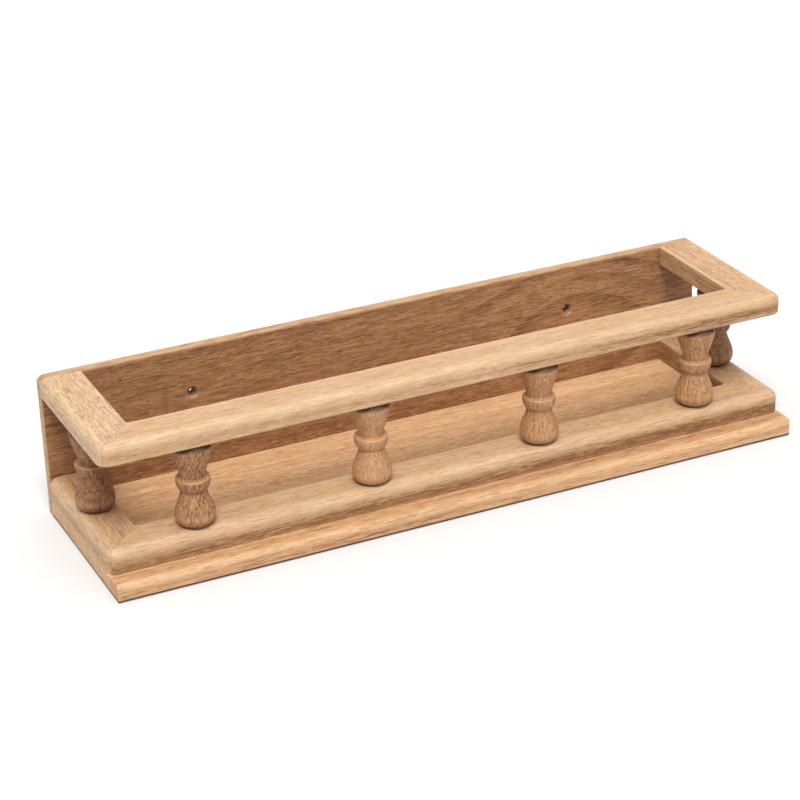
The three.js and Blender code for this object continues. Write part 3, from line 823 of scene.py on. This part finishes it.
for (
    frame_name, width, top_round, corner, foot_round, fillet, face_shade, face_reach, inner_dark
) in FRAMES:
    front_low, front_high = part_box(f"{frame_name}_front_rail")
    side_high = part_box(f"{frame_name}_right_rail")[1]
    outer_x, outer_y = side_high.x, front_low.y
    loop, loop_normal, loop_wear = rounded_loop(
        [(0, front_low.z), (0, front_high.z), (width, front_high.z), (width, front_low.z)],
        [foot_round, top_round, INNER_TOP_EASE, INNER_FOOT_EASE],
    )
    a, z = loop.T
    na, nz = loop_normal.T
    t, b, height, wear_and_painted_light = mitred_rows(a, na, z, nz, width, corner, fillet, width + FAN_LENGTH)

    # Front rail: a mitre at both ends, with the middle rows square to the rail.
    middle_end = outer_x - width - FRONT_START
    middle = np.linspace(-middle_end, middle_end, FRONT_ROWS)
    flat_b = np.broadcast_to(a, (len(middle), len(a)))
    flat_z = np.broadcast_to(z, (len(middle), len(z)))
    middle_x = np.broadcast_to(middle[:, None], flat_b.shape)
    x = np.concatenate([(-outer_x + t)[::-1], middle_x, outer_x - t])
    y = outer_y + np.concatenate([b[::-1], flat_b, b])
    heights = np.concatenate([height[::-1], flat_z, height])
    rows = closed_rows(np.stack([x, y, heights], axis=-1))
    rail_wear = wear_of_rows(np.concatenate([wear_and_painted_light[::-1], 0 * middle, wear_and_painted_light]), loop_wear)
    made = {"front": sew(f"{frame_name}_rail_front", [patch(rows, rail_wear, closed=True)])}

    # Side rails: a mitre at the front, and a square end against the panel.
    length = side_high.y - outer_y
    gap, drawn = eased_end(SIDE_END_EASE)
    side_middle = np.linspace(width + SIDE_START, length - SIDE_STOP, SIDE_ROWS)
    far = np.concatenate([side_middle, length - gap[::-1]])
    far_draw = np.concatenate([0 * side_middle, drawn[::-1]])
    far_a = a[None] - far_draw[:, None] * na[None]
    far_z = z[None] - far_draw[:, None] * nz[None]
    along = np.concatenate([t[::-1], np.broadcast_to(far[:, None], far_a.shape)])
    across = np.concatenate([b[::-1], far_a])
    heights = np.concatenate([height[::-1], far_z])
    rail_wear = wear_of_rows(np.concatenate([wear_and_painted_light[::-1], 0 * far]), loop_wear)
    for side, sign in (("left", -1), ("right", 1)):
        rows = closed_rows(np.stack([sign * (outer_x - across), outer_y + along, heights], axis=-1))
        made[side] = sew(f"{frame_name}_rail_{side}", [patch(rows, rail_wear, closed=True)])

    for place_name, piece in made.items():
        heart, amounts = RAIL_LOOKS[f"{frame_name}_{place_name}"]
        amounts = dict(zip(AMOUNTS, amounts)) | {"Rub": RAIL_RUB, "Veins": RAIL_VEINS}
        own_tone = amounts["Tone"]
        grain_turn = ALONG_X if place_name == "front" else ALONG_Y
        look = teak(
            f"teak_{frame_name}_{place_name}_wood", heart, grain_turn, RAIL_COLOURS, **amounts
        )
        if place_name == "front":
            # The front faces are painted darker than the tops, most of all at the foot: painted shade
            # on faces turned away from the overhead light. They are also darker towards the right.
            tree, wood, z_place = object_axis(look, 2)
            x_place = object_axis(look, 0)[2]
            face = between(tree, z_place, front_high.z - FACE_SHADE_FROM, front_high.z - face_reach)
            to_right = between(tree, x_place, 0.0, RIGHT_END)
            face_darkening = calc(tree, "MULTIPLY_ADD", to_right, RIGHT_FACE_DARKER, face_shade)
            tone = calc(tree, "MULTIPLY_ADD", face, face_darkening, own_tone)
            tone = calc(tree, "MULTIPLY_ADD", to_right, RIGHT_DARKER, tone)
            tree.links.new(tone, wood.inputs["Tone"])
        if place_name == "right":
            # The inner sides of the right-hand rails are darker heartwood.
            tree, wood, x_place = object_axis(look, 0)
            inner = outer_x - width
            heartwood = between(
                tree, x_place, inner + HEARTWOOD_FROM, inner + HEARTWOOD_FULL,
                own_tone, own_tone + inner_dark,
            )
            tree.links.new(heartwood, wood.inputs["Tone"])
        finish_piece(piece, f"{frame_name}_{place_name}_rail", look)

# ---------------------------------------------------------------- spindles
# Six short turned posts of darker teak, four along the front and one at each side. From the foot up:
# a bell, a neck, a flat bead with crisp shoulders, and a flared top. Round tenons hold both ends.
SPINDLE_SIDES = 96
TENON_RADIUS = 0.0045
TENON_EASE = 0.0004
BELL_ROWS = 50
BEAD_ROWS = 44
FLARE_ROWS = 44


def smooth_run(points, count):
    """A smooth curve through (radius, height) points: each span is a cubic whose slopes are half the
    difference of the neighbours, after Catmull and Rom."""
    points = np.array(points, float)
    padded = np.vstack([2 * points[0] - points[1], points, 2 * points[-1] - points[-2]])
    place = np.linspace(0, len(points) - 1, count)
    index = np.minimum(place.astype(int), len(points) - 2)
    u = (place - index)[:, None]
    p0, p1, p2, p3 = (padded[index + step] for step in range(4))
    return 0.5 * (2 * p1 + (p2 - p0) * u + (2 * p0 - 5 * p1 + 4 * p2 - p3) * u ** 2
                  + (3 * p1 - p0 - 3 * p2 + p3) * u ** 3)


def turned(profile, x, y, z):
    """Carries (radius, height) points round an upright axis at x and y, from height z."""
    angle = 2 * math.pi * np.arange(SPINDLE_SIDES) / SPINDLE_SIDES
    radius, height = profile.T
    return np.stack([
        x + radius[:, None] * np.cos(angle), y + radius[:, None] * np.sin(angle),
        np.broadcast_to(z + height[:, None], (len(profile), SPINDLE_SIDES)),
    ], axis=-1)


# Half sections of the turned part, as radius and height above the low frame in millimetres.
bell = smooth_run([
    (7.2, 0.0), (9.2, 0.9), (10.8, 2.4), (11.8, 4.6), (12.05, 7.2), (11.5, 10.6), (10.2, 14.2),
    (8.7, 18.0), (7.7, 21.4), (7.4, 22.6),
], BELL_ROWS)
bead = smooth_run([
    (7.5, 22.8), (8.4, 23.1), (9.2, 24.2), (9.8, 25.8), (10.15, 27.4), (10.2, 29.0), (10.1, 29.9),
    (9.7, 30.4), (9.0, 30.6), (8.2, 30.7),
], BEAD_ROWS)
flare = smooth_run([
    (7.4, 31.0), (7.8, 33.0), (8.7, 36.5), (9.9, 40.0), (11.1, 44.0), (11.9, 47.4), (12.1, 49.0),
    (11.6, 50.4), (10.2, 51.6), (9.2, 53.5),
], FLARE_ROWS)
TURNED = np.vstack([bell, bead, flare]) / 1000
# The bulb, the bead and the top of the flare are painted paler: rubbed wear, and a painted highlight
# where they catch the light, brightest as a lip on the bead.
turned_wear = np.concatenate([
    most * near(np.abs(run[:, 1] - rubbed_at), reach) for run, rubbed_at, reach, most in (
        # half section, height at which it is rubbed and painted brightest, reach up and down, and wear
        # with painted highlight there
        (bell, 7.2, 4.0, 0.5), (bead, 30.1, 1.0, 1.0), (flare, 50.8, 2.0, 0.7),
    )
])
SPINDLE_COLOURS = (
    shade(198, 154, 111), shade(158, 113, 75), shade(92, 57, 36), shade(206, 166, 124)
)
# The dark of the spindle ends: partly end grain, partly painted shade.
STAIN_AND_SHADE_COLOUR = shade(60, 36, 24)
STAIN_AND_SHADE_COVER = 0.8
TOP_STAIN_AND_SHADE = (0.0048, 0.0028)  # where it begins below the gallery rail, and where it is full
FOOT_STAIN_AND_SHADE = (0.0034, 0.0008)  # the same above the low frame
SPINDLES = [
    # node, where the heart of the tree lies from the post's axis (mm), tone, streaks, pores, flecks
    ("spindle_front_1", (34, 12), 0.50, 0.44, 0.42, 0.45),
    ("spindle_front_2", (-9, -40), 0.22, 0.22, 0.28, 0.45),
    ("spindle_front_3", (26, -30), 0.36, 0.26, 0.32, 0.40),
    ("spindle_front_4", (-40, 18), 0.30, 0.30, 0.60, 0.35),
    ("spindle_left", (15, 36), 0.66, 0.26, 0.30, 0.30),
    ("spindle_right", (-30, -20), 0.60, 0.26, 0.30, 0.30),
]
base_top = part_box("base_front_rail")[1].z
rail_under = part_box("top_front_rail")[0].z
between_rails = rail_under - base_top
body = TURNED * np.array([1, between_rails / TURNED[-1, 1]])
for node_name, (heart_x, heart_y), tone, streaks, pores, flecks in SPINDLES:
    low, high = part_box(node_name)
    x, y = (low.x + high.x) / 2, (low.y + high.y) / 2
    foot = low.z - base_top
    top = high.z - base_top
    lower = [
        (0, foot), (TENON_RADIUS - TENON_EASE, foot),
        (TENON_RADIUS, foot + TENON_EASE), (TENON_RADIUS, 0),
    ]
    upper = [
        (TENON_RADIUS, between_rails), (TENON_RADIUS, top - TENON_EASE),
        (TENON_RADIUS - TENON_EASE, top), (0, top),
    ]
    points = turned(np.vstack([lower, body, upper]), x, y, base_top)
    wear_and_painted_light = np.concatenate([np.zeros(len(lower)), turned_wear, np.zeros(len(upper))])
    post_name = "post_" + node_name.removeprefix("spindle_")
    post = sew(post_name, [patch(points, wear_and_painted_light[:, None], closed=True)])
    look = teak(
        f"teak_{node_name}_wood", (x + heart_x / 1000, y + heart_y / 1000, 0.0), ALONG_Z,
        SPINDLE_COLOURS,
        **{"Ring Width": 2.6, "Ring Strength": 0.16, "Streaks": streaks, "Bands": 0.1, "Pores": pores,
           "Flecks": flecks, "Tone": tone, "Waver": 2.0, "Rub": 0.5, "Veins": 0.28},
    )
    # The undercut ends, where the grain is cut across, are painted dark: partly end grain that has
    # drunk the oil, partly painted shade under the gallery rail and round the foot.
    tree, wood, z_place = object_axis(look, 2)
    begin, full = TOP_STAIN_AND_SHADE
    at_top = between(tree, z_place, rail_under - begin, rail_under - full, 0.0, STAIN_AND_SHADE_COVER)
    begin, full = FOOT_STAIN_AND_SHADE
    at_foot = between(tree, z_place, base_top + begin, base_top + full, 0.0, STAIN_AND_SHADE_COVER)
    darkened(look, calc(tree, "MAXIMUM", at_top, at_foot), STAIN_AND_SHADE_COLOUR)
    finish_piece(post, node_name, look)

# ---------------------------------------------------------------- mitre keys
# A flat key of pale hardwood lies in a slot across each mitre of the gallery rail, halfway up and
# square to the joint, and ties the two rails. The keys are planed, glued in and hidden by the rails.
KEY_HEART = (0.0, -0.060, 0.050)
KEY_COLOURS = (
    shade(216, 190, 150), shade(196, 164, 122), shade(150, 116, 78), shade(222, 198, 160)
)
for side, turned_by in (("left", math.pi / 4), ("right", -math.pi / 4)):
    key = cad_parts[f"mitre_key_{side}"]
    look = teak(
        f"hardwood_key_{side}_wood", KEY_HEART, (0, 0, turned_by), KEY_COLOURS,
        **{"Ring Width": 2.2, "Ring Strength": 0.25, "Streaks": 0.3, "Pores": 0.2, "Flecks": 0.2,
           "Tone": 0.2},
    )
    key.data.materials.clear()
    key.data.materials.append(look)

# ---------------------------------------------------------------- wood screws
# Five countersunk steel screws, rolled and pressed, hold the rails and the board from behind the
# panel. Each has a flat head with a cross recess, a plain neck, a rolled thread and a gimlet point.
SCREW_LENGTH = 0.030
SCREW_CORE = 0.00120
SCREW_THREAD = 0.00172
SCREW_NECK = 0.0016
SCREW_HEAD = 0.0035
SCREW_HEAD_DEPTH = 0.0020
SCREW_RIM = 0.00015
SCREW_PITCH = 0.0016
THREAD_START = 0.009
THREAD_RUN_IN = 0.002
POINT_START = 0.0255
RECESS_REACH = 0.0019
RECESS_HALF = 0.00045
RECESS_WALL = 0.00012
RECESS_DEPTH = 0.0013
RECESS_FALL = 1.8
SCREW_SIDES = 72
RECESS_ROWS = 34
HEAD_ROWS = 5
NECK_ROWS = 7
THREAD_ROWS = 220
SCREW_EASE = 0.0001


def recess(u, v):
    """Depth of the cross recess: the deeper of two slots. Each slot falls steeply at its sides and is
    deepest in the middle of its length."""
    def slot(length, width):
        side = np.clip((RECESS_HALF - np.abs(width)) / RECESS_WALL, 0, 1)
        end = np.clip((RECESS_REACH - np.abs(length)) / RECESS_REACH * RECESS_FALL, 0, 1)
        return side * side * (3 - 2 * side) * end
    return RECESS_DEPTH * np.maximum(slot(u, v), slot(v, u))


def thread(angle, depth):
    """Radius of the shank: a plain neck, then a core with one ridge that climbs a pitch each turn and
    is a raised cosine to the third power across it, then a point whose radius shrinks to nothing."""
    start = np.clip((depth - THREAD_START) / THREAD_RUN_IN, 0, 1)
    point = np.sqrt(np.clip((SCREW_LENGTH - depth) / (SCREW_LENGTH - POINT_START), 0, 1))
    ridge = (0.5 + 0.5 * np.cos(2 * math.pi * depth / SCREW_PITCH - angle)) ** 3
    core = SCREW_NECK + start * (SCREW_CORE - SCREW_NECK)
    return (core + start * (SCREW_THREAD - SCREW_CORE) * ridge) * point


steel = bpy.data.materials.new("zinc_plated_steel")
steel.use_nodes = True
tree = steel.node_tree
place = tree.nodes.new("ShaderNodeTexCoord").outputs["Object"]
values = {"Vector": place, "Scale": (1000, 1000, 1000)}
millimetres = add_node(tree, "ShaderNodeMapping", values).outputs[0]
bloom = noise(tree, millimetres, 4.0, 0.6).outputs[0]
surface = tree.nodes["Principled BSDF"]
surface.inputs["Metallic"].default_value = 1.0
tone = mixed(tree, between(tree, bloom, 0.3, 0.7), shade(186, 188, 190), shade(212, 212, 208))
tree.links.new(tone, surface.inputs["Base Color"])
tree.links.new(between(tree, bloom, 0.3, 0.7, 0.45, 0.28), surface.inputs["Roughness"])
bump = add_node(tree, "ShaderNodeBump", {"Strength": 0.4, "Distance": 0.00005, "Height": bloom})
tree.links.new(bump.outputs[0], surface.inputs["Normal"])

angle = 2 * math.pi * np.arange(SCREW_SIDES) / SCREW_SIDES
face_radius = np.concatenate([
    np.linspace(0, RECESS_REACH + SCREW_EASE, RECESS_ROWS),
    np.linspace(RECESS_REACH + 4 * SCREW_EASE, SCREW_HEAD - SCREW_EASE, HEAD_ROWS),
])
shank_depth = np.concatenate([
    np.linspace(SCREW_HEAD_DEPTH, THREAD_START, NECK_ROWS + 1)[:-1],
    np.linspace(THREAD_START, SCREW_LENGTH, THREAD_ROWS),
])
u, v = face_radius[:, None] * np.cos(angle), face_radius[:, None] * np.sin(angle)
side_radius = np.concatenate([
    np.broadcast_to([[SCREW_HEAD], [SCREW_HEAD], [SCREW_NECK + SCREW_EASE]], (3, SCREW_SIDES)),
    thread(angle[None], shank_depth[:, None]),
])
head_depth = [0.5 * SCREW_RIM, SCREW_RIM, SCREW_HEAD_DEPTH - SCREW_EASE]
side_depth = np.concatenate([head_depth, shank_depth])
radius = np.concatenate([np.broadcast_to(face_radius[:, None], u.shape), side_radius])
depth = np.concatenate([recess(u, v), np.broadcast_to(side_depth[:, None], side_radius.shape)])
for name, (x, z) in zip(SCREW_NAMES, screw_places):
    points = np.stack([x + radius * np.cos(angle), back - depth, z + radius * np.sin(angle)], axis=-1)
    screw = sew(f"wood_screw_{name}", [patch(points, 0.0, closed=True)])
    finish_piece(screw, name, steel)
